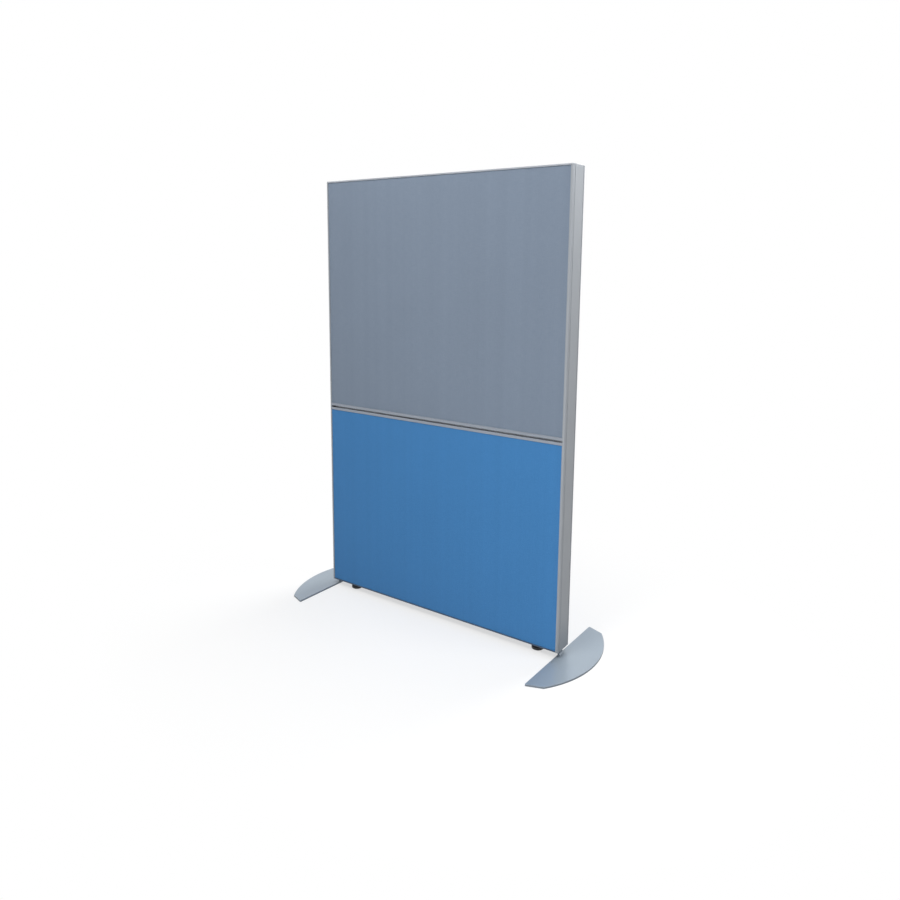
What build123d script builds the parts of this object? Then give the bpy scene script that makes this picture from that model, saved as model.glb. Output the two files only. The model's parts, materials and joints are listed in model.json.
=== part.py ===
from build123d import *
import os

# Free-standing fabric screen panel on two half-moon feet.
# Millimetres. X runs along the width, Y through the thickness, Z up.
# The origin lies on the floor under the middle of the panel.
# Two channel posts and three rails make an aluminium frame. The rails' lips and the edge trims on the
# posts grip fabric-faced boards.

# Whole panel
panel_width = 960.0
panel_height = 1500.0
panel_thickness = 76.0
ground_clearance = 25.0
mid_rail_centre = 698.0

# Clearances
seat_clearance = 0.2
soft_clearance = 0.3
running_clearance = 0.05
hole_clearance = 0.3
overrun = 1.0

# Edge trim that clips on a post, with a lip on each face of the panel
lip_thickness = 2.0
trim_lip_width = 8.5
trim_wall = 2.8
nose_width = 8.0
nose_radius = 6.0
nose_inner_radius = 0.5
lip_edge_radius = 0.6
trim_leg_thickness = 1.5
trim_leg_length = 5.0

# Cover strip in the trim's recess
recess_depth = 1.0
cover_width = 49.0
cover_edge_radius = 0.8

# Channel post
post_wall = 1.8
channel_width = 44.0
channel_depth = 13.0
channel_floor = 2.2

# Cap on the upper end of post and trim
cap_thickness = 2.0
cap_plug_depth = 5.0

# Rail extrusions
rail_wall = 1.8
rail_box_height = 20.0
rail_corner_radius = 1.8
rail_edge_radius = 0.5
top_lip_height = 5.0
bottom_wall = 2.0
bottom_lip_height = 4.5
mid_face_height = 24.0
slot_mouth = 6.0
slot_inner_height = 9.6
mid_box_wall = 1.2
port_radius = 5.0

# Blind rivets that hold the slot tracks to the middle rail's box
rivet_radius = 2.0
rivet_head_radius = 4.0
rivet_head_height = 1.1
rivet_bulge_radius = 2.8
rivet_bulge_length = 2.0
rivet_count = 5
rivet_end_inset = 80.0

# Screws that join rails to posts
rail_screw_spacing = 34.4
rail_screw_radius = 2.45
rail_screw_bite = 23.0
rail_screw_head_radius = 4.3
rail_screw_head_height = 3.0
rail_screw_socket_width = 3.0
rail_screw_socket_depth = 1.8

# Fabric-faced tiles
board_thickness = 8.0
tile_grip = 4.5

# Cell core that holds the boards of one field apart
core_cell_size = 112.0
core_strip_thickness = 3.0

# Half-moon foot
foot_length = 442.0
foot_reach = 120.0
foot_tip_width = 54.0
foot_tip_slant = 20.0
foot_thickness = 6.0
foot_corner_radius = 3.0
foot_edge_radius = 1.0
tongue_width = 24.0
tongue_thickness = 5.0
tongue_length = 109.0
tongue_top_radius = 5.0
weld_leg = 4.0

# Screws and rivet nuts that hold the foot's tongue in the post
foot_screw_height = 60.0
foot_screw_pitch = 35.0
foot_screw_radius = 3.0
foot_screw_length = 18.0
foot_screw_head_radius = 5.25
foot_screw_head_height = 3.3
foot_screw_socket_width = 4.0
foot_screw_socket_depth = 2.0
nut_radius = 4.5
nut_length = 14.0
nut_bulge_radius = 6.2
nut_bulge_length = 4.0

# Levelling glide
glide_inset = 90.0
glide_pad_radius = 20.0
glide_pad_height = 10.0
glide_hub_radius = 9.0
glide_hub_height = 2.0
glide_rim_radius = 2.0
glide_foot_chamfer = 1.5
glide_neck_radius = 4.0
glide_neck_length = 8.0
glide_hex_width = 15.0
glide_hex_height = 5.0
glide_stem_radius = 5.0
glide_stem_length = 35.0
glide_stem_chamfer = 1.0
glide_lift = 6.0
insert_flange_radius = 9.0
insert_flange_thickness = 1.5
insert_radius = 6.5
insert_length = 18.0
stem_hole_clearance = 0.6

# Planes worked out from the sizes above
half_width = panel_width / 2
face_y = panel_thickness / 2
lip_back_y = face_y - lip_thickness
channel_half = channel_width / 2
box_half = channel_half + post_wall
post_top = panel_height - cap_thickness
post_inner_x = half_width - channel_depth - channel_floor
lip_end_x = half_width - trim_lip_width
floor_face_x = half_width - channel_depth
recess_x = half_width - recess_depth
trim_back_x = recess_x - trim_wall
leg_outer_y = channel_half - soft_clearance
leg_inner_y = leg_outer_y - trim_leg_thickness
port_y = rail_screw_spacing / 2
pilot_radius = rail_screw_radius + running_clearance

# Heights of the rails' screws and walls
top_screw_z = post_top - rail_box_height / 2
bottom_wall_top = ground_clearance + bottom_wall
bottom_screw_z = bottom_wall_top + rail_box_height / 2
slot_half = slot_inner_height / 2
slot_wall_outer = slot_half + rail_wall
above_slot_z = mid_rail_centre + slot_wall_outer + seat_clearance
core_gap = slot_wall_outer + rivet_head_height + seat_clearance

# Places of the tiles
tile_edge_x = trim_back_x - seat_clearance
board_inner_y = box_half + seat_clearance
board_outer_y = board_inner_y + board_thickness
fabric_outer_y = lip_back_y - soft_clearance
lower_tile_z = (bottom_wall_top + seat_clearance, mid_rail_centre - mid_face_height / 2 + tile_grip)
upper_tile_z = (above_slot_z, post_top - seat_clearance)

# Places of the glides
glide_x = half_width - glide_inset
hex_bottom_z = glide_pad_height + glide_hub_height
hex_top_z = hex_bottom_z + glide_hex_height

# Places of the cores, clear of the nuts, of the rivets' heads and of the glides' stems when wound in
core_edge_x = floor_face_x - nut_length - seat_clearance
stem_highest_z = hex_top_z + glide_stem_length + glide_lift
lower_core_z = (stem_highest_z + soft_clearance, mid_rail_centre - core_gap)
upper_core_z = (mid_rail_centre + core_gap, post_top - rail_box_height - seat_clearance)


def patch(low, high):
    """Flat rectangle between two corners of the sketch plane."""
    return Pos(*low) * Rectangle(high[0] - low[0], high[1] - low[1], align=(Align.MIN, Align.MIN))


def block(low, high):
    """Box between two corners."""
    size = [b - a for a, b in zip(low, high)]
    return Pos(*low) * Box(*size, align=(Align.MIN, Align.MIN, Align.MIN))


def z_bar(radius, low, high):
    """Upright round bar on the Z axis between two heights."""
    return Pos(0, 0, low) * Cylinder(radius, high - low, align=(Align.CENTER, Align.CENTER, Align.MIN))


def z_hexagon(width_across_flats, low, high):
    """Upright hexagonal bar on the Z axis between two heights."""
    flat = RegularPolygon(width_across_flats / 2, 6, major_radius=False)
    return extrude(Pos(0, 0, low) * flat, amount=high - low)


def x_bar(radius, y, z, low, high):
    """Round bar along X between two places."""
    bar = Cylinder(radius, high - low, align=(Align.CENTER, Align.CENTER, Align.MIN))
    return Pos(low, y, z) * Rot(0, 90, 0) * bar


def x_hexagon(width_across_flats, y, z, low, high):
    """Hexagonal bar along X between two places."""
    flat = RegularPolygon(width_across_flats / 2, 6, major_radius=False)
    return Pos(low, y, z) * Rot(0, 90, 0) * extrude(flat, amount=high - low)


def both_sides(sketch):
    """The sketch and its mirror image across the panel's middle plane, for a sketch in Y and Z."""
    return sketch + mirror(sketch, about=Plane.YZ)


def corners_at(sketch, places):
    """The sketch's corners that lie at the given places."""
    near = running_clearance
    corners = sketch.vertices()
    return [v for v in corners if any(abs(v.X - a) < near and abs(v.Y - b) < near for a, b in places)]


def right_and_left(piece):
    """A right-hand piece and its mirror image for the left-hand end."""
    return {"right": piece, "left": mirror(piece, about=Plane.YZ)}


def foot_screw_places():
    """Heights of the screws that hold a foot."""
    return (foot_screw_height, foot_screw_height + foot_screw_pitch)


def rivet_places():
    """Places of the rivets along the middle rail."""
    last = half_width - rivet_end_inset
    pitch = 2 * last / (rivet_count - 1)
    return [i * pitch - last for i in range(rivet_count)]


def channel_floor_hole(radius, y, z):
    """Round hole through the floor of the right-hand channel."""
    return x_bar(radius, y, z, post_inner_x - overrun, floor_face_x + overrun)


def post():
    """Aluminium channel that carries the rails' ends and the foot, open towards the end of the panel."""
    wall = patch((post_inner_x, -box_half), (trim_back_x, -channel_half))
    floor = patch((post_inner_x, -box_half), (floor_face_x, box_half))
    section = wall + mirror(wall, about=Plane.XZ) + floor
    body = Pos(0, 0, ground_clearance) * extrude(section, amount=post_top - ground_clearance)
    for z in (top_screw_z, mid_rail_centre, bottom_screw_z):
        for y in (-port_y, port_y):
            body -= channel_floor_hole(rail_screw_radius + hole_clearance, y, z)
    for z in foot_screw_places():
        body -= channel_floor_hole(nut_radius + running_clearance, 0, z)
    return body


def edge_trim():
    """Aluminium trim over the post's open side: rounded noses, lips over the tiles and legs in the channel."""
    lip = patch((lip_end_x, -face_y), (half_width, -lip_back_y))
    nose = patch((trim_back_x, -face_y), (half_width, -face_y + nose_width))
    leg = patch((trim_back_x - trim_leg_length, -leg_outer_y), (trim_back_x, -leg_inner_y))
    front = lip + nose + leg
    section = front + mirror(front, about=Plane.XZ) + patch((trim_back_x, -face_y), (recess_x, face_y))
    outer = [(half_width, -face_y), (half_width, face_y)]
    inner = [(half_width, -face_y + nose_width), (half_width, face_y - nose_width)]
    lip_ends = [(lip_end_x, -face_y), (lip_end_x, face_y)]
    section = fillet(corners_at(section, outer), nose_radius)
    section = fillet(corners_at(section, inner), nose_inner_radius)
    section = fillet(corners_at(section, lip_ends), lip_edge_radius)
    return Pos(0, 0, ground_clearance) * extrude(section, amount=post_top - ground_clearance)


def cover_strip():
    """Flat strip bonded in the recess of the edge trim."""
    half = cover_width / 2
    plate = patch((recess_x, -half), (half_width, half))
    plate = fillet(corners_at(plate, [(half_width, -half), (half_width, half)]), cover_edge_radius)
    return Pos(0, 0, ground_clearance) * extrude(plate, amount=post_top - ground_clearance)


def post_cap():
    """Plastic cap on the upper end of post and trim, with a plug between the trim's legs."""
    plate = patch((lip_end_x, -face_y), (half_width, face_y))
    plate = fillet(corners_at(plate, [(half_width, -face_y), (half_width, face_y)]), nose_radius)
    top = Pos(0, 0, post_top) * extrude(plate, amount=cap_thickness)
    rim = top.faces().sort_by(Axis.Z)[-1].edges().sort_by(Axis.X)[1:]
    top = fillet(rim, rail_corner_radius)
    plug_y = leg_inner_y - soft_clearance
    low = (floor_face_x + soft_clearance, -plug_y, post_top - cap_plug_depth)
    high = (trim_back_x - soft_clearance, plug_y, post_top)
    return top + block(low, high)


def screw_ports(z):
    """Walls of the round ports that take the rail's end screws, and their bores, drawn in Y and Z."""
    walls = [Pos(side * port_y, z) * Circle(port_radius) for side in (-1, 1)]
    bores = [Pos(side * port_y, z) * Circle(pilot_radius) for side in (-1, 1)]
    return walls, bores


def rail_from(section, box_low, box_high):
    """Rail of the given section, with its box part cut back at both ends to butt on the posts' channels."""
    body = extrude(Plane.YZ * section, amount=lip_end_x, both=True)
    notch_y = box_half + seat_clearance
    notch = block((post_inner_x, -notch_y, box_low), (lip_end_x + overrun, notch_y, box_high))
    return body - notch - mirror(notch, about=Plane.YZ)


def box_walls(low, high):
    """Side walls of a rail's box between two heights, drawn in Y and Z."""
    return both_sides(patch((channel_half, low), (box_half, high)))


def top_rail():
    """Upper rail: a flat top, a lip on each face, and a box with the screw ports under the top."""
    box_floor_z = post_top - rail_box_height
    walls, bores = screw_ports(top_screw_z)
    section = patch((-face_y, post_top), (face_y, panel_height))
    section += both_sides(patch((lip_back_y, panel_height - top_lip_height), (face_y, panel_height)))
    section += box_walls(box_floor_z, post_top)
    section += patch((-box_half, box_floor_z), (box_half, box_floor_z + rail_wall))
    section = section + walls
    section = section - bores
    crown = [(-face_y, panel_height), (face_y, panel_height)]
    lip_z = panel_height - top_lip_height
    section = fillet(corners_at(section, crown), rail_corner_radius)
    section = fillet(corners_at(section, [(-face_y, lip_z), (face_y, lip_z)]), rail_edge_radius)
    return rail_from(section, box_floor_z - overrun, post_top)


def bottom_rail():
    """Lower rail: a flat floor, a low lip on each face, and a box that carries the glides' inserts."""
    box_top_z = bottom_wall_top + rail_box_height
    lip_z = ground_clearance + bottom_lip_height
    walls, bores = screw_ports(bottom_screw_z)
    section = patch((-face_y, ground_clearance), (face_y, bottom_wall_top))
    section += both_sides(patch((lip_back_y, ground_clearance), (face_y, lip_z)))
    section += box_walls(bottom_wall_top, box_top_z)
    section += patch((-box_half, box_top_z - rail_wall), (box_half, box_top_z))
    section = section + walls
    section = section - bores
    keel = [(-face_y, ground_clearance), (face_y, ground_clearance)]
    section = fillet(corners_at(section, keel), rail_corner_radius)
    section = fillet(corners_at(section, [(-face_y, lip_z), (face_y, lip_z)]), rail_edge_radius)
    body = rail_from(section, ground_clearance - overrun, box_top_z + overrun)
    insert_hole_radius = insert_radius + running_clearance
    insert_hole = z_bar(insert_hole_radius, ground_clearance - overrun, bottom_wall_top + overrun)
    stem_hole_low = box_top_z - rail_wall - overrun
    stem_hole = z_bar(glide_stem_radius + stem_hole_clearance, stem_hole_low, box_top_z + overrun)
    for x in (-glide_x, glide_x):
        body -= Pos(x, 0, 0) * insert_hole
        body -= Pos(x, 0, 0) * stem_hole
    return body


def rivet_hole():
    """Bar that cuts the holes for one pair of rivets, drawn about the middle rail's centre."""
    reach = slot_wall_outer + overrun
    return z_bar(rivet_radius + hole_clearance, -reach, reach)


def mid_rail():
    """Box in the middle of the transom, closed by thin walls, with the ports for its end screws."""
    outline = patch((-box_half, -slot_half), (box_half, slot_half))
    inner_z = slot_half - mid_box_wall
    walls, bores = screw_ports(0)
    section = outline - patch((-channel_half, -inner_z), (channel_half, inner_z))
    section = section + walls
    section = section & outline
    section = section - bores
    body = extrude(Plane.YZ * section, amount=post_inner_x, both=True)
    for x in rivet_places():
        body -= Pos(x, 0, 0) * rivet_hole()
    return Pos(0, 0, mid_rail_centre) * body


def slot_track():
    """Track above the box: a plate with a ridge on each face, so that two of them leave an undercut slot."""
    ridge = patch((lip_back_y, slot_mouth / 2), (face_y, mid_face_height / 2))
    section = both_sides(ridge) + patch((-face_y, slot_half), (face_y, slot_wall_outer))
    edges = [(y, z) for y in (-face_y, face_y) for z in (slot_mouth / 2, mid_face_height / 2)]
    section = fillet(corners_at(section, edges), rail_edge_radius)
    body = rail_from(section, slot_half - overrun, slot_wall_outer + overrun)
    for x in rivet_places():
        body -= Pos(x, 0, 0) * rivet_hole()
    return body


def mid_rail_rivets():
    """Blind rivets through the tracks into the box, each swollen inside it."""
    inner_z = slot_half - mid_box_wall
    rivet = z_bar(rivet_radius, inner_z, slot_wall_outer)
    rivet += z_bar(rivet_bulge_radius, inner_z - rivet_bulge_length, inner_z)
    rivet += z_bar(rivet_head_radius, slot_wall_outer, slot_wall_outer + rivet_head_height)
    upper = [Pos(x, 0, mid_rail_centre) * rivet for x in rivet_places()]
    lower = [Pos(x, 0, mid_rail_centre) * mirror(rivet, about=Plane.XY) for x in rivet_places()]
    return Compound(children=upper + lower)


def rail_screw(y, z):
    """Self-tapping screw through the floor of the right-hand channel into a rail's port."""
    shank = x_bar(rail_screw_radius, y, z, post_inner_x - rail_screw_bite, floor_face_x)
    head_end_x = floor_face_x + rail_screw_head_height
    head = x_bar(rail_screw_head_radius, y, z, floor_face_x, head_end_x)
    socket_x = head_end_x - rail_screw_socket_depth
    socket = x_hexagon(rail_screw_socket_width, y, z, socket_x, head_end_x + overrun)
    return shank + head - socket


def rail_screws(z):
    """The four screws of one rail, two at each end."""
    pair = [rail_screw(y, z) for y in (-port_y, port_y)]
    return Compound(children=pair + [mirror(s, about=Plane.YZ) for s in pair])


def tile_board(side, heights):
    """Board of one tile, gripped at its edges by posts and rails. Side is -1 in front and 1 behind."""
    low_y, high_y = sorted((side * board_inner_y, side * board_outer_y))
    return block((-tile_edge_x, low_y, heights[0]), (tile_edge_x, high_y, heights[1]))


def tile_fabric(side, heights):
    """Foam and fabric facing of one tile, glued to its board and held behind the lips."""
    low_y, high_y = sorted((side * board_outer_y, side * fabric_outer_y))
    return block((-tile_edge_x, low_y, heights[0]), (tile_edge_x, high_y, heights[1]))


def tile_core(heights):
    """Grid of slotted strips that fills the space between the two boards of one field."""
    low_z, high_z = heights
    width = 2 * core_edge_x
    height = high_z - low_z
    columns = max(1, round(width / core_cell_size))
    rows = max(1, round(height / core_cell_size))
    pitch_x = (width - core_strip_thickness) / columns
    pitch_z = (height - core_strip_thickness) / rows
    cell = Rectangle(pitch_x - core_strip_thickness, pitch_z - core_strip_thickness)
    cells = [place * cell for place in GridLocations(pitch_x, pitch_z, columns, rows)]
    grid = Rectangle(width, height) - cells
    middle_z = (low_z + high_z) / 2
    return Pos(0, 0, middle_z) * extrude(Plane.XZ * grid, amount=board_inner_y, both=True)


def foot_plate():
    """Half-moon steel plate with its straight edge under the end of the panel and slanted tips."""
    inner = floor_face_x
    tip = inner + foot_tip_width
    end = foot_length / 2
    tip_y = end - foot_tip_slant
    near_edge = Polyline((tip, tip_y), (inner, end), (inner, -end), (tip, -tip_y))
    far_edge = ThreePointArc((tip, -tip_y), (inner + foot_reach, 0), (tip, tip_y))
    outline = make_face([near_edge, far_edge])
    outline = fillet(outline.vertices(), foot_corner_radius)
    plate = extrude(outline, amount=foot_thickness)
    rim = plate.faces().sort_by(Axis.Z)[-1].edges()
    return fillet(rim, foot_edge_radius)


def foot_tongue():
    """Upright steel tongue, welded to the foot plate, that slides up into the post's channel."""
    outer_x = floor_face_x + tongue_thickness
    top_z = foot_thickness + tongue_length
    half = tongue_width / 2
    bar = block((floor_face_x, -half, foot_thickness), (outer_x, half, top_z))
    upper = bar.edges().filter_by(Axis.X).sort_by(Axis.Z)[-2:]
    bar = fillet(upper, tongue_top_radius)
    bead_profile = make_face(
        Polyline(
            (outer_x, foot_thickness),
            (outer_x + weld_leg, foot_thickness),
            (outer_x, foot_thickness + weld_leg),
            close=True,
        )
    )
    bead = extrude(Plane.XZ * bead_profile, amount=half, both=True)
    body = bar + bead
    for z in foot_screw_places():
        body -= x_bar(foot_screw_radius + hole_clearance, 0, z, floor_face_x - overrun, outer_x + overrun)
    return body


def foot_screws():
    """Button-head screws through the right-hand tongue."""
    seat_x = floor_face_x + tongue_thickness
    head_end_x = seat_x + foot_screw_head_height
    screws = []
    for z in foot_screw_places():
        shank = x_bar(foot_screw_radius, 0, z, seat_x - foot_screw_length, seat_x)
        head = x_bar(foot_screw_head_radius, 0, z, seat_x, head_end_x)
        rim = head.edges().filter_by(GeomType.CIRCLE).sort_by(Axis.X)[-1]
        head = fillet(rim, foot_screw_head_height / 2)
        socket_x = head_end_x - foot_screw_socket_depth
        socket = x_hexagon(foot_screw_socket_width, 0, z, socket_x, head_end_x + overrun)
        screws.append(shank + head - socket)
    return Compound(children=screws)


def foot_nuts():
    """Rivet nuts set in the floor of the right-hand channel, each swollen behind the floor."""
    nuts = []
    for z in foot_screw_places():
        body = x_bar(nut_radius, 0, z, floor_face_x - nut_length, floor_face_x)
        bulge = x_bar(nut_bulge_radius, 0, z, post_inner_x - nut_bulge_length, post_inner_x)
        bore_low = floor_face_x - nut_length - overrun
        bore = x_bar(foot_screw_radius + running_clearance, 0, z, bore_low, floor_face_x + overrun)
        nuts.append(body + bulge - bore)
    return Compound(children=nuts)


def glide_insert():
    """Flanged threaded insert in the lower rail's floor."""
    flange_z = ground_clearance - insert_flange_thickness
    body = z_bar(insert_flange_radius, flange_z, ground_clearance)
    body += z_bar(insert_radius, ground_clearance, ground_clearance + insert_length)
    bore_high = ground_clearance + insert_length + overrun
    body -= z_bar(glide_stem_radius + running_clearance, flange_z - overrun, bore_high)
    return Pos(glide_x, 0, 0) * body


def glide_stem():
    """Threaded stem of a glide, with the hexagon that turns it and the neck that swivels in the pad."""
    top_z = hex_top_z + glide_stem_length
    stem = z_bar(glide_stem_radius, hex_top_z, top_z)
    stem = chamfer(stem.edges().sort_by(Axis.Z)[-1], glide_stem_chamfer)
    body = stem + z_hexagon(glide_hex_width, hex_bottom_z, hex_top_z)
    body += z_bar(glide_neck_radius, hex_bottom_z - glide_neck_length, hex_bottom_z)
    return Pos(glide_x, 0, 0) * body


def glide_pad():
    """Round plastic pad that stands on the floor, with a blind bore for the stem's neck."""
    disc = z_bar(glide_pad_radius, 0, glide_pad_height)
    disc = fillet(disc.edges().sort_by(Axis.Z)[-1], glide_rim_radius)
    disc = chamfer(disc.edges().sort_by(Axis.Z)[0], glide_foot_chamfer)
    hub = z_bar(glide_hub_radius, glide_pad_height, hex_bottom_z)
    bore_low = hex_bottom_z - glide_neck_length - running_clearance
    bore = z_bar(glide_neck_radius + running_clearance, bore_low, hex_bottom_z + overrun)
    return Pos(glide_x, 0, 0) * (disc + hub - bore)


def all_pieces():
    """Every node's name and shape."""
    pieces = {"top_rail": top_rail(), "mid_rail": mid_rail(), "bottom_rail": bottom_rail()}
    screw_heights = {"top": top_screw_z, "mid": mid_rail_centre, "bottom": bottom_screw_z}
    for name, z in screw_heights.items():
        pieces[name + "_rail_screws"] = rail_screws(z)
    at_slot = Pos(0, 0, mid_rail_centre)
    pieces["upper_slot_track"] = at_slot * slot_track()
    pieces["lower_slot_track"] = at_slot * mirror(slot_track(), about=Plane.XY)
    pieces["mid_rail_rivets"] = mid_rail_rivets()
    for field, heights in {"upper": upper_tile_z, "lower": lower_tile_z}.items():
        for face, side in {"front": -1, "rear": 1}.items():
            pieces[f"{field}_{face}_board"] = tile_board(side, heights)
            pieces[f"{field}_{face}_fabric"] = tile_fabric(side, heights)
    pieces["lower_core"] = tile_core(lower_core_z)
    pieces["upper_core"] = tile_core(upper_core_z)
    handed = {
        "post": post(),
        "edge_trim": edge_trim(),
        "cover_strip": cover_strip(),
        "post_cap": post_cap(),
        "foot_plate": foot_plate(),
        "foot_tongue": foot_tongue(),
        "foot_screws": foot_screws(),
        "foot_nuts": foot_nuts(),
        "glide_insert": glide_insert(),
        "glide_stem": glide_stem(),
        "glide_pad": glide_pad(),
    }
    for name, piece in handed.items():
        for hand, copy in right_and_left(piece).items():
            pieces[f"{hand}_{name}"] = copy
    return pieces


os.makedirs("parts", exist_ok=True)
for node, shape in all_pieces().items():
    export_step(shape, f"parts/{node}.step")
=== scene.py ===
import json
import math

import bpy
from mathutils import Matrix, Vector

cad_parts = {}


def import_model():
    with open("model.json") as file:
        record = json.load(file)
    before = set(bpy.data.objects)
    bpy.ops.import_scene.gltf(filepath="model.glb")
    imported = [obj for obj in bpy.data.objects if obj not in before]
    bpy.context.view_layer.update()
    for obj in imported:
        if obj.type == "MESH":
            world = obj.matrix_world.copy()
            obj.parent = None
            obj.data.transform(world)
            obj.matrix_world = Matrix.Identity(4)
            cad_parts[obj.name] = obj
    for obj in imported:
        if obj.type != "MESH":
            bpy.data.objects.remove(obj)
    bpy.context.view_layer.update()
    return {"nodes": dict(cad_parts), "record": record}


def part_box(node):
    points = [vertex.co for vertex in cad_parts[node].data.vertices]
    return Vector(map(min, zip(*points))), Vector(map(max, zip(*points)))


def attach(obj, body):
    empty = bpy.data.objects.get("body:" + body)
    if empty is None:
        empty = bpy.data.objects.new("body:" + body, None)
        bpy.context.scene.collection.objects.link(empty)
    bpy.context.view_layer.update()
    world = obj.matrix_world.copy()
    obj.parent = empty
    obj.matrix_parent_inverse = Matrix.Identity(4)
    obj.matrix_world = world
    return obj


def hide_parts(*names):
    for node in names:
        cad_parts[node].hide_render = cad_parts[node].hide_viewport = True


# Looks of the free-standing fabric screen panel. Metres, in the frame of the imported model:
# X along the width, Y through the thickness, Z up, with the floor at Z = 0.

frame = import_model()

# Fabric pads: how far they reach behind the lips, and their shape
PAD_SIDE_GRIP = 0.0045
PAD_TOP_GRIP = {"upper": 0.0028, "lower": 0.0045}
PAD_BOTTOM_GRIP = {"upper": 0.0052, "lower": 0.0023}
PAD_RIM_DEPTH = 0.0002
PAD_CROWN = 0.0019
PAD_PITCH = 0.013
PAD_NEAR_EDGE = (0.0, 0.003, 0.008)
PAD_HELD_ROWS = 2

# Cloth simulation that gives the pads their crown
CLOTH_PRESSURE = 4.0
CLOTH_STEPS = 14
CLOTH_QUALITY = 6
CLOTH_POINT_MASS = 0.3
CLOTH_STRETCH_STIFFNESS = 40
CLOTH_SHEAR_STIFFNESS = 20
CLOTH_BENDING_STIFFNESS = 2

# Weave: the yarns' pitch, over how many pitches one keeps its tone, how high one lies where it runs
# under the other, and where the weft's noise starts
YARN_PITCH = 0.0014
YARN_RUN = 18
YARN_UNDER = 0.55
WEFT_OFFSET = (3.1, 0, 7.7)

# Thread on the glides' stems: its pitch and the height where it starts
THREAD_PITCH = 0.0015
THREAD_START = 0.0172

# Die lines of the aluminium, in periods a metre
DIE_LINES_ALONG = 1.6
DIE_LINES_ACROSS = 900.0

# Parts of a noise's range that a tone or roughness follows
WIDE = (0.3, 0.7)
NARROW = (0.35, 0.65)

# Dark and light tone of each finish. The aluminium has five: for the uprights, the top rail, lightened as
# painted light, the slot tracks, the middle rail's box, which shows in the slots and is made bright there as
# painted light against their shade, and the lower rail, made slate dark as painted shade.
SILVER = ((0.295, 0.315, 0.34, 1), (0.325, 0.345, 0.373, 1))
PAINTED_LIGHT_TOP_SILVER = ((0.345, 0.37, 0.405, 1), (0.375, 0.4, 0.44, 1))
TRACK_SILVER = ((0.265, 0.295, 0.34, 1), (0.295, 0.325, 0.375, 1))
PAINTED_LIGHT_SILVER = ((0.66, 0.69, 0.72, 1), (0.72, 0.75, 0.78, 1))
PAINTED_SHADE_SLATE = ((0.06, 0.095, 0.15, 1), (0.07, 0.11, 0.17, 1))
END_CAP = ((0.29, 0.31, 0.335, 1), (0.325, 0.345, 0.37, 1))
BLACK = ((0.007, 0.007, 0.009, 1), (0.012, 0.012, 0.014, 1))
BOARD = ((0.3, 0.19, 0.1, 1), (0.46, 0.32, 0.19, 1))
CORE_BOARD = ((0.34, 0.22, 0.12, 1), (0.5, 0.36, 0.22, 1))
ZINC = ((0.5, 0.51, 0.52, 1), (0.62, 0.63, 0.64, 1))
ZINC_EDGE = (0.74, 0.74, 0.75, 1)
COAT = ((0.31, 0.37, 0.435, 1), (0.36, 0.425, 0.49, 1))
COAT_SCUFF = (0.29, 0.345, 0.4, 1)
COAT_EDGE = (0.42, 0.445, 0.475, 1)
# Painted shade on the upright sides of the coated plates
COAT_PAINTED_SIDE_SHADE = (0.14, 0.165, 0.2, 1)

# Dark and light yarn of each cloth, and the darker tone painted as shade between its yarns
GREY_CLOTH = ((0.184, 0.23, 0.298, 1), (0.221, 0.27, 0.34, 1), (0.12, 0.15, 0.2, 1))
BLUE_CLOTH = ((0.05, 0.196, 0.44, 1), (0.064, 0.228, 0.495, 1), (0.027, 0.116, 0.29, 1))

# Camera, found from the corners and edges of the panel and its feet in the photograph
CAMERA_PLACE = (1.4607, -2.0111, 1.2158)
CAMERA_YAW = -35.329
CAMERA_PITCH = 9.163
CAMERA_ROLL = 0.481
FOCAL_PIXELS = 752.76
SHIFT_PIXELS = -64.0
IMAGE_PIXELS = 900
SENSOR_WIDTH = 36.0
CLIP_NEAR = 0.05
CLIP_FAR = 100

# Floor: its size, its shade for the camera and for the light that it throws back, and how its plain
# white grows with the distance from the middle
FLOOR_HALF = 12.0
FLOOR_SHADE = 0.97
FLOOR_BOUNCE_SHADE = 0.55
FLOOR_NARROWING = 0.8
FLOOR_WHITE = (0.6, 1.0)
FLOOR_WHITE_REACH = (0.4, 1.05)

# Sky light on the object, and the plain white that the camera and gloss see
SKY_COLOUR = (0.985, 0.99, 1.0, 1)
SKY_STRENGTH = 0.17
WHITE = (1, 1, 1, 1)

# Lamps: name, place, target, diameter and watts
LAMPS = (
    ("high_front", (-0.1, -1.9, 3.0), (0, 0, 1.1), 1.4, 61),
    ("low_right", (1.2, -1.8, 0.3), (0.35, 0, 0.35), 1.2, 19),
    ("right_end", (1.2, 0.1, 1.9), (0.48, 0, 1.4), 0.6, 10.4),
    ("left_end", (-2.0, 0.3, 0.7), (-0.48, 0, 0.8), 1.0, 5),
    ("above", (0.2, 0.2, 3.6), (0, 0, 0), 1.8, 9),
    ("rear", (0.5, 2.4, 2.6), (0, 0, 0.8), 1.8, 70),
)


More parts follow.
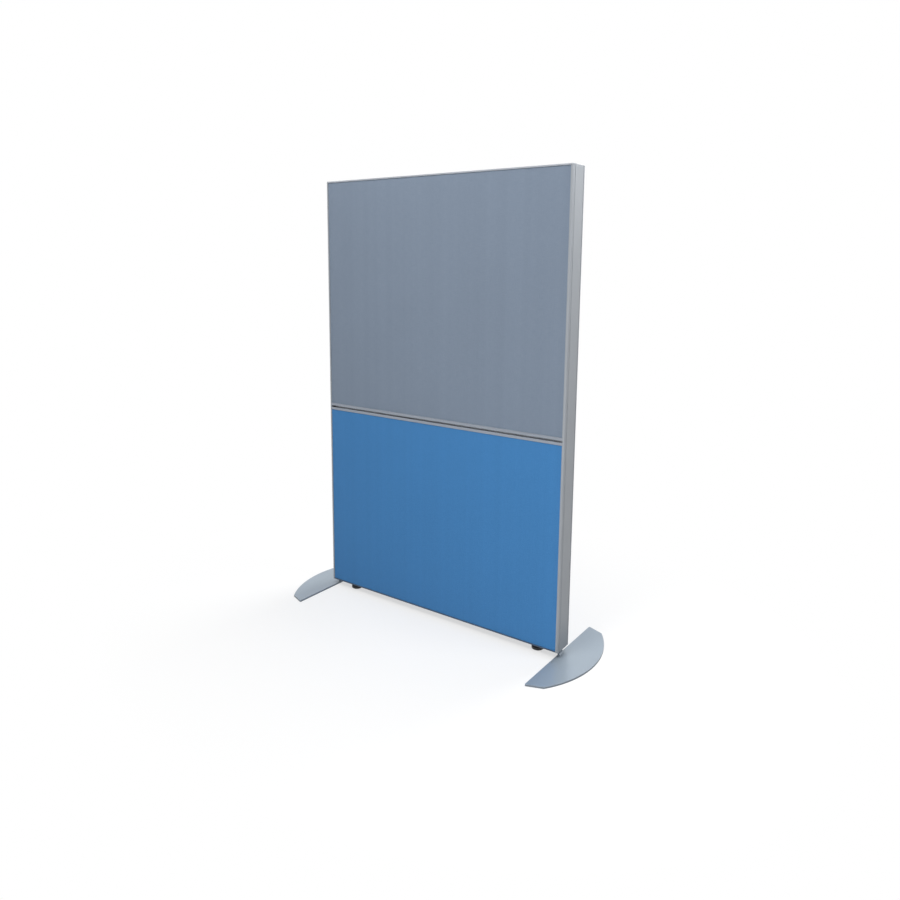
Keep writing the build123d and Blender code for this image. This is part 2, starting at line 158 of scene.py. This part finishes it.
class Graph:
    """The node tree of a new material or world, built by short calls."""

    def __init__(self, owner):
        self.owner = owner
        owner.use_nodes = True
        self.tree = owner.node_tree
        self.tree.nodes.clear()

    def add(self, kind, inputs=None, **settings):
        node = self.tree.nodes.new("ShaderNode" + kind)
        for key, value in settings.items():
            setattr(node, key, value)
        for key, value in (inputs or {}).items():
            self.feed(node.inputs[key], value)
        return node

    def feed(self, socket, value):
        if isinstance(value, bpy.types.NodeSocket):
            self.tree.links.new(value, socket)
        else:
            socket.default_value = value

    def math(self, operation, a, b=0.0):
        node = self.add("Math", operation=operation)
        self.feed(node.inputs[0], a)
        self.feed(node.inputs[1], b)
        return node.outputs[0]

    def place(self, scale=(1, 1, 1), offset=(0, 0, 0)):
        """Object coordinates in metres, scaled."""
        coordinates = self.add("TexCoord").outputs["Object"]
        inputs = {"Vector": coordinates, "Scale": scale, "Location": offset}
        return self.add("Mapping", inputs).outputs[0]

    def noise(self, scale, detail, roughness, offset=(0, 0, 0)):
        """Noise with so many periods a metre: one number, or one for each of X, Y and Z."""
        periods = scale if isinstance(scale, tuple) else (scale, scale, scale)
        vector = self.place(periods, offset)
        inputs = {"Vector": vector, "Scale": 1.0, "Detail": detail, "Roughness": roughness}
        return self.add("TexNoise", inputs).outputs["Fac"]

    def span(self, value, low, high, over=(0.0, 1.0)):
        """The value's range given by over, mapped to low..high."""
        inputs = {"Value": value, "From Min": over[0], "From Max": over[1], "To Min": low, "To Max": high}
        return self.add("MapRange", inputs).outputs[0]

    def mix(self, factor, a, b, blend="MIX"):
        node = self.add("Mix", data_type="RGBA", blend_type=blend)
        for socket, value in zip((node.inputs[0], node.inputs[6], node.inputs[7]), (factor, a, b)):
            self.feed(socket, value)
        return node.outputs[2]

    def level(self, value):
        """A grey of that level."""
        return self.add("CombineColor", {"Red": value, "Green": value, "Blue": value}).outputs[0]

    def bump(self, height, strength, distance, normal=None):
        inputs = {"Height": height, "Strength": strength, "Distance": distance}
        if normal is not None:
            inputs["Normal"] = normal
        return self.add("Bump", inputs).outputs[0]

    def edge_mask(self, radius, over):
        """1 along the piece's edges and 0 on its faces."""
        rounded = self.add("Bevel", {"Radius": radius}, samples=4).outputs[0]
        flat = self.add("NewGeometry").outputs["Normal"]
        node = self.add("VectorMath", operation="DOT_PRODUCT")
        self.feed(node.inputs[0], rounded)
        self.feed(node.inputs[1], flat)
        return self.span(node.outputs["Value"], 1.0, 0.0, over)

    def seen(self):
        """1 for what the camera sees, directly, in gloss or through glass."""
        path = self.add("LightPath")
        seen = self.math("MAXIMUM", path.outputs["Is Camera Ray"], path.outputs["Is Glossy Ray"])
        return self.math("MAXIMUM", seen, path.outputs["Is Transmission Ray"])

    def mix_shaders(self, factor, a, b):
        node = self.add("MixShader", {"Fac": factor})
        self.feed(node.inputs[1], a.outputs[0])
        self.feed(node.inputs[2], b.outputs[0])
        return node.outputs[0]

    def surface(self, **inputs):
        shader = self.add("BsdfPrincipled", {key.replace("_", " "): value for key, value in inputs.items()})
        self.add("OutputMaterial", {"Surface": shader.outputs[0]})
        return self.owner


def material_graph(name):
    return Graph(bpy.data.materials.new(name))


def toned(colour, factor, lift=0.0):
    """The colour made lighter or darker."""
    return tuple(min(1.0, factor * c + lift) for c in colour[:3]) + (1,)


def aluminium(name, along, tones):
    """Satin anodised aluminium with fine die lines along the extrusion, 0 for X and 2 for Z."""
    g = material_graph(name)
    dark, light = tones
    die_lines = tuple(DIE_LINES_ALONG if axis == along else DIE_LINES_ACROSS for axis in range(3))
    lines = g.noise(die_lines, detail=4.0, roughness=0.6)
    cloud = g.noise(7, detail=3.0, roughness=0.5)
    grain = g.noise(2600, detail=2.0, roughness=0.5)
    edge = g.edge_mask(0.0009, over=(0.86, 0.995))
    tone = g.mix(g.span(lines, 0.0, 1.0, over=WIDE), dark, light)
    tone = g.mix(g.span(cloud, 0.0, 0.3, over=NARROW), tone, dark)
    tone = g.mix(g.math("MULTIPLY", edge, 0.3), tone, toned(light, 1.25))
    rough = g.math("ADD", g.span(lines, 0.38, 0.46, over=WIDE), g.span(cloud, -0.02, 0.03, over=WIDE))
    rough = g.math("SUBTRACT", rough, g.math("MULTIPLY", edge, 0.08))
    normal = g.bump(lines, strength=0.12, distance=0.0002)
    normal = g.bump(grain, strength=0.08, distance=0.00008, normal=normal)
    return g.surface(Base_Color=tone, Metallic=0.2, Roughness=rough, Normal=normal, Specular_IOR_Level=0.4)


def coated_steel():
    """Silver powder coat with a fine orange-peel surface, rubbed along the edges, with painted shade on its
    upright sides.
    """
    g = material_graph("silver_steel_coat")
    flake = g.noise(2400, detail=2.0, roughness=0.6)
    peel = g.noise(420, detail=2.0, roughness=0.45)
    scuff = g.noise((14, 5, 14), detail=2.0, roughness=0.5)
    edge = g.edge_mask(0.0012, over=(0.8, 0.995))
    tone = g.mix(g.span(flake, 0.0, 1.0, over=NARROW), *COAT)
    tone = g.mix(g.span(scuff, 0.0, 0.3, over=(0.4, 0.75)), tone, COAT_SCUFF)
    tone = g.mix(g.math("MULTIPLY", edge, 0.35), tone, COAT_EDGE)
    # Painted shade: the plates' upright side faces are darkened.
    upward = g.add("SeparateXYZ", {"Vector": g.add("NewGeometry").outputs["True Normal"]}).outputs["Z"]
    painted_side_shade = g.span(g.math("ABSOLUTE", upward), 1.0, 0.0, over=(0.1, 0.5))
    tone = g.mix(g.math("MULTIPLY", painted_side_shade, 0.8), tone, COAT_PAINTED_SIDE_SHADE)
    rough = g.span(scuff, 0.28, 0.38, over=(0.3, 0.75))
    normal = g.bump(peel, strength=0.15, distance=0.0004)
    normal = g.bump(flake, strength=0.06, distance=0.00008, normal=normal)
    return g.surface(Base_Color=tone, Metallic=0.3, Roughness=rough, Normal=normal)


def zinc(name, threaded):
    """Bright zinc plate on steel. A threaded one has the ridges of its pitch above its hexagon."""
    g = material_graph(name)
    cloud = g.noise(160, detail=4.0, roughness=0.6)
    grain = g.noise(3000, detail=2.0, roughness=0.5)
    edge = g.edge_mask(0.0005, over=(0.8, 0.99))
    tone = g.mix(g.span(cloud, 0.0, 1.0, over=NARROW), *ZINC)
    tone = g.mix(g.math("MULTIPLY", edge, 0.5), tone, ZINC_EDGE)
    rough = g.span(cloud, 0.24, 0.38, over=WIDE)
    normal = g.bump(grain, strength=0.08, distance=0.00006)
    if threaded:
        height = g.add("SeparateXYZ", {"Vector": g.place()}).outputs["Z"]
        ridge = g.math("SINE", g.math("MULTIPLY", height, math.tau / THREAD_PITCH))
        above = g.math("GREATER_THAN", height, THREAD_START)
        normal = g.bump(g.math("MULTIPLY", ridge, above), strength=1.0, distance=0.0005, normal=normal)
    return g.surface(Base_Color=tone, Metallic=1.0, Roughness=rough, Normal=normal)


def moulded(name, tones, rough):
    """Moulded plastic with a fine sparked grain and slightly polished edges."""
    g = material_graph(name)
    dark, light = tones
    grain = g.noise(1500, detail=3.0, roughness=0.6)
    cloud = g.noise(60, detail=3.0, roughness=0.5)
    edge = g.edge_mask(0.0008, over=(0.8, 0.99))
    tone = g.mix(g.span(cloud, 0.0, 1.0, over=NARROW), dark, light)
    tone = g.mix(g.math("MULTIPLY", edge, 0.25), tone, toned(light, 1.5, lift=0.02))
    grained = g.span(grain, rough - 0.05, rough + 0.06, over=WIDE)
    roughness = g.math("SUBTRACT", grained, g.math("MULTIPLY", edge, 0.1))
    normal = g.bump(grain, strength=0.25, distance=0.00012)
    return g.surface(Base_Color=tone, Roughness=roughness, Normal=normal)


def fibreboard(name, tones):
    """Pressed fibreboard: short fibres and specks."""
    g = material_graph(name)
    dark, light = tones
    fibres = g.noise((500, 500, 90), detail=5.0, roughness=0.7)
    specks = g.noise(260, detail=2.0, roughness=0.5)
    tone = g.mix(g.span(fibres, 0.0, 1.0, over=WIDE), dark, light)
    tone = g.mix(g.span(specks, 0.0, 0.5, over=(0.62, 0.7)), tone, toned(dark, 0.55))
    rough = g.span(fibres, 0.74, 0.92, over=WIDE)
    return g.surface(Base_Color=tone, Roughness=rough, Normal=g.bump(fibres, strength=0.4, distance=0.0003))


def weave(g):
    """Height of a plain weave in X and Z, and which of warp and weft lies on top."""
    axis = g.add("SeparateXYZ", {"Vector": g.place((1 / YARN_PITCH, 1, 1 / YARN_PITCH))})
    u = axis.outputs["X"]
    v = axis.outputs["Z"]
    warp = g.math("ABSOLUTE", g.math("SINE", g.math("MULTIPLY", u, math.pi)))
    weft = g.math("ABSOLUTE", g.math("SINE", g.math("MULTIPLY", v, math.pi)))
    cell = g.math("ADD", g.math("FLOOR", u), g.math("FLOOR", v))
    over = g.math("PINGPONG", cell, 1.0)
    warp_height = g.math("MULTIPLY", warp, g.span(over, YARN_UNDER, 1.0))
    weft_height = g.math("MULTIPLY", weft, g.span(over, 1.0, YARN_UNDER))
    height = g.math("MAXIMUM", warp_height, weft_height)
    on_top = g.math("GREATER_THAN", warp_height, weft_height)
    return height, on_top


def cloth(name, dark, light, painted_gap_shade):
    """Plain woven cloth of mixed yarns, with faint upright bands where the warp varies."""
    g = material_graph(name)
    height, on_top = weave(g)
    yarn = 1 / YARN_PITCH
    warp_mix = g.noise((yarn, 1, yarn / YARN_RUN), detail=2.0, roughness=0.6)
    weft_mix = g.noise((yarn / YARN_RUN, 1, yarn), detail=2.0, roughness=0.6, offset=WEFT_OFFSET)
    streak = g.noise((42, 0, 0.25), detail=2.0, roughness=0.5)
    cloud = g.noise(4, detail=2.0, roughness=0.5)
    shade = g.add("Mix", {"Factor": on_top, "A": weft_mix, "B": warp_mix}, data_type="FLOAT").outputs[0]
    tone = g.mix(g.span(shade, 0.0, 1.0, over=(0.32, 0.68)), dark, light)
    # Painted shade: where the weave lies low between the yarns, its tone is darkened.
    tone = g.mix(g.span(height, 0.55, 0.0, over=(0.25, 0.8)), tone, painted_gap_shade)
    band = g.math("ADD", g.span(streak, 0.98, 1.02, over=WIDE), g.span(cloud, -0.015, 0.015, over=WIDE))
    tone = g.mix(1.0, tone, g.level(band), "MULTIPLY")
    rough = g.span(height, 0.96, 0.84)
    fuzz = g.noise(2200, detail=2.0, roughness=0.6)
    normal = g.bump(height, strength=0.55, distance=0.0003)
    normal = g.bump(fuzz, strength=0.2, distance=0.0001, normal=normal)
    return g.surface(
        Base_Color=tone,
        Roughness=rough,
        Normal=normal,
        Sheen_Weight=0.12,
        Sheen_Roughness=0.5,
        Specular_IOR_Level=0.2,
    )


def dress_frame(materials):
    """Gives each CAD node its finish."""
    upright = ("post", "edge_trim", "cover_strip")
    for name, node in frame["nodes"].items():
        slot = next(s["material_slot"] for s in frame["record"]["subparts"] if s["node"] == name)
        # Painted shade: the lower rail gets a slate-dark copy of the aluminium.
        if name == "bottom_rail":
            slot += "_dark"
        # Painted light: the middle rail, seen only inside the slots, gets a bright copy of the aluminium
        # against their shade.
        elif name == "mid_rail":
            slot += "_mill"
        elif name.endswith("slot_track"):
            slot += "_track"
        # Painted light: the level rails get a lighter copy of the aluminium than the uprights.
        elif slot == "anodised_aluminium":
            slot += "_upright" if name.endswith(upright) else "_level"
        if name.endswith("glide_stem"):
            slot += "_thread"
        node.data.materials.clear()
        node.data.materials.append(materials[slot])


def link(thing):
    bpy.context.scene.collection.objects.link(thing)
    return thing


def grid_lines(low, high, low_grip, high_grip):
    """Places of the mesh lines across a pad: close together at its edges, even in the middle."""
    inner_low = low + low_grip
    inner_high = high - high_grip
    margin = PAD_NEAR_EDGE[-1]
    span = inner_high - inner_low - 2 * margin
    count = round(span / PAD_PITCH)
    middle = [inner_low + margin + span * i / count for i in range(count + 1)]
    before = [inner_low + d for d in PAD_NEAR_EDGE[:-1]]
    after = [inner_high - d for d in reversed(PAD_NEAR_EDGE[:-1])]
    return [low] + before + middle + after + [high]


def pad_mesh(name, xs, zs, back_y, face_y):
    """Closed flat pad with one grid on its face and one on its back. Returns the mesh and its free points."""
    columns = len(xs)
    rows = len(zs)
    points = [(x, y, z) for y in (face_y, back_y) for z in zs for x in xs]
    offset = columns * rows
    faces = []
    for j in range(rows - 1):
        for i in range(columns - 1):
            a = j * columns + i
            quad = (a, a + 1, a + 1 + columns, a + columns)
            faces.append(quad)
            faces.append(tuple(offset + k for k in reversed(quad)))
    rim = list(range(columns))
    rim += [j * columns + columns - 1 for j in range(1, rows)]
    rim += [(rows - 1) * columns + i for i in range(columns - 2, -1, -1)]
    rim += [j * columns for j in range(rows - 2, 0, -1)]
    for a, b in zip(rim, rim[1:] + rim[:1]):
        faces.append((b, a, offset + a, offset + b))
    if face_y > back_y:
        faces = [tuple(reversed(f)) for f in faces]
    mesh = bpy.data.meshes.new(name)
    mesh.from_pydata(points, [], faces)
    free_rows = range(PAD_HELD_ROWS, rows - PAD_HELD_ROWS)
    free_columns = range(PAD_HELD_ROWS, columns - PAD_HELD_ROWS)
    free = [j * columns + i for j in free_rows for i in free_columns]
    return mesh, free


def simulated_rise(pad, free):
    """How far pressure lifts each free point of the stretched cloth, from a cloth simulation."""
    held = pad.vertex_groups.new(name="held")
    loose = set(free)
    held.add([v.index for v in pad.data.vertices if v.index not in loose], 1.0, "REPLACE")
    modifier = pad.modifiers.new("Cloth", "CLOTH")
    settings = modifier.settings
    settings.quality = CLOTH_QUALITY
    settings.mass = CLOTH_POINT_MASS
    settings.tension_stiffness = CLOTH_STRETCH_STIFFNESS
    settings.compression_stiffness = CLOTH_STRETCH_STIFFNESS
    settings.shear_stiffness = CLOTH_SHEAR_STIFFNESS
    settings.bending_stiffness = CLOTH_BENDING_STIFFNESS
    settings.vertex_group_mass = "held"
    settings.use_pressure = True
    settings.uniform_pressure_force = CLOTH_PRESSURE
    settings.effector_weights.gravity = 0.0
    modifier.collision_settings.use_collision = False
    modifier.point_cache.frame_start = 1
    modifier.point_cache.frame_end = CLOTH_STEPS
    scene = bpy.context.scene
    for step in range(1, CLOTH_STEPS + 1):
        scene.frame_set(step)
    shape = pad.evaluated_get(bpy.context.evaluated_depsgraph_get()).data
    rise = {i: shape.vertices[i].co.y - pad.data.vertices[i].co.y for i in free}
    pad.modifiers.remove(modifier)
    pad.vertex_groups.remove(held)
    scene.frame_set(1)
    return rise


def fabric_pad(node, field, material):
    """Foam and stretched cloth of one tile, held at its rim behind the lips and crowned between them."""
    low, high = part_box(node)
    side = -1 if high.y < 0 else 1
    back_y, face_y = sorted((low.y, high.y), key=abs)
    face_y -= side * PAD_RIM_DEPTH
    xs = grid_lines(low.x, high.x, PAD_SIDE_GRIP, PAD_SIDE_GRIP)
    zs = grid_lines(low.z, high.z, PAD_BOTTOM_GRIP[field], PAD_TOP_GRIP[field])
    mesh, free = pad_mesh(node + "_pad", xs, zs, back_y, face_y)
    pad = link(bpy.data.objects.new(node + "_pad", mesh))
    rise = simulated_rise(pad, free)
    for i in free:
        lift = max(0.0, side * rise[i])
        mesh.vertices[i].co.y += side * PAD_CROWN * lift / (lift + PAD_CROWN)
    mesh.polygons.foreach_set("use_smooth", [True] * len(mesh.polygons))
    mesh.materials.append(material)
    finer = pad.modifiers.new("Finer", "SUBSURF")
    finer.levels = finer.render_levels = 1
    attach(pad, "frame")
    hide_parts(node)


def floor():
    """Wide pale floor. Around the panel it is lit and holds the shadow; far out it is plain white."""
    half = FLOOR_HALF
    outline = [(-half, -half, 0), (half, -half, 0), (half, half, 0), (-half, half, 0)]
    mesh = bpy.data.meshes.new("floor")
    mesh.from_pydata(outline, [], [(0, 1, 2, 3)])
    plane = link(bpy.data.objects.new("floor", mesh))
    g = material_graph("pale_floor")
    axis = g.add("SeparateXYZ", {"Vector": g.place((FLOOR_NARROWING, 1.0, 1.0))})
    square = g.math("ADD", g.math("POWER", axis.outputs["X"], 2.0), g.math("POWER", axis.outputs["Y"], 2.0))
    far = g.span(g.math("SQRT", square), *FLOOR_WHITE, over=FLOOR_WHITE_REACH)
    to_camera = g.add("LightPath").outputs["Is Camera Ray"]
    shade = g.span(to_camera, FLOOR_BOUNCE_SHADE, FLOOR_SHADE)
    lit = g.add("BsdfDiffuse", {"Color": g.level(shade)})
    plain = g.add("Emission", {"Color": WHITE, "Strength": 1.0})
    mixed = g.mix_shaders(g.math("MULTIPLY", far, g.seen()), lit, plain)
    g.add("OutputMaterial", {"Surface": mixed})
    mesh.materials.append(g.owner)


def world():
    """White for what the camera and gloss see, and a plain dimmer light for all else."""
    sky = bpy.data.worlds.new("studio")
    bpy.context.scene.world = sky
    g = Graph(sky)
    soft = g.add("Background", {"Color": SKY_COLOUR, "Strength": SKY_STRENGTH})
    white = g.add("Background", {"Color": WHITE, "Strength": 1.0})
    g.add("OutputWorld", {"Surface": g.mix_shaders(g.seen(), soft, white)})


def lamp(name, place, target, diameter, watts):
    """Round area lamp that is not seen itself, neither directly nor in gloss."""
    light = bpy.data.lights.new(name, "AREA")
    light.shape = "DISK"
    light.size = diameter
    light.energy = watts
    holder = link(bpy.data.objects.new(name, light))
    holder.location = place
    holder.rotation_euler = (Vector(target) - Vector(place)).to_track_quat("-Z", "Y").to_euler()
    holder.visible_camera = False
    holder.visible_glossy = False


def camera():
    """Camera at the photograph's viewing angle, level apart from a small roll."""
    yaw, pitch, roll = (math.radians(a) for a in (CAMERA_YAW, CAMERA_PITCH, CAMERA_ROLL))
    forward = Vector((math.sin(yaw) * math.cos(pitch), math.cos(yaw) * math.cos(pitch), -math.sin(pitch)))
    level = Vector((math.cos(yaw), -math.sin(yaw), 0))
    upward = level.cross(forward)
    right = math.cos(roll) * level + math.sin(roll) * upward
    up = math.cos(roll) * upward - math.sin(roll) * level
    turn = Matrix((right, up, -forward)).transposed().to_4x4()
    lens = bpy.data.cameras.new("camera")
    lens.sensor_fit = "HORIZONTAL"
    lens.sensor_width = SENSOR_WIDTH
    lens.lens = FOCAL_PIXELS * SENSOR_WIDTH / IMAGE_PIXELS
    lens.shift_y = SHIFT_PIXELS / IMAGE_PIXELS
    lens.clip_start = CLIP_NEAR
    lens.clip_end = CLIP_FAR
    eye = link(bpy.data.objects.new("camera", lens))
    eye.matrix_world = Matrix.Translation(CAMERA_PLACE) @ turn
    bpy.context.scene.camera = eye


camera()
finishes = {
    "anodised_aluminium_upright": aluminium("anodised_aluminium_upright", 2, SILVER),
    # Painted light: a lighter copy of the aluminium for the level rails.
    "anodised_aluminium_level": aluminium("anodised_aluminium_level", 0, PAINTED_LIGHT_TOP_SILVER),
    "anodised_aluminium_track": aluminium("anodised_aluminium_track", 0, TRACK_SILVER),
    # Painted light: a bright copy of the aluminium for the middle rail inside the slots.
    "anodised_aluminium_mill": aluminium("anodised_aluminium_mill", 0, PAINTED_LIGHT_SILVER),
    # Painted shade: a slate-dark copy of the aluminium for the lower rail.
    "anodised_aluminium_dark": aluminium("anodised_aluminium_dark", 0, PAINTED_SHADE_SLATE),
    "end_cap_plastic": moulded("end_cap_grain", END_CAP, 0.48),
    "grey_fabric": cloth("grey_weave", *GREY_CLOTH),
    "blue_fabric": cloth("blue_weave", *BLUE_CLOTH),
    "board": fibreboard("board_fibres", BOARD),
    "core_board": fibreboard("core_fibres", CORE_BOARD),
    "silver_steel": coated_steel(),
    "zinc_steel": zinc("zinc_plate", False),
    "zinc_steel_thread": zinc("zinc_thread", True),
    "black_plastic": moulded("black_grain", BLACK, 0.38),
}
dress_frame(finishes)
for field, slot in (("upper", "grey_fabric"), ("lower", "blue_fabric")):
    for face in ("front", "rear"):
        fabric_pad(f"{field}_{face}_fabric", field, finishes[slot])
floor()
world()
for values in LAMPS:
    lamp(*values)
bpy.context.scene.view_settings.view_transform = "Standard"
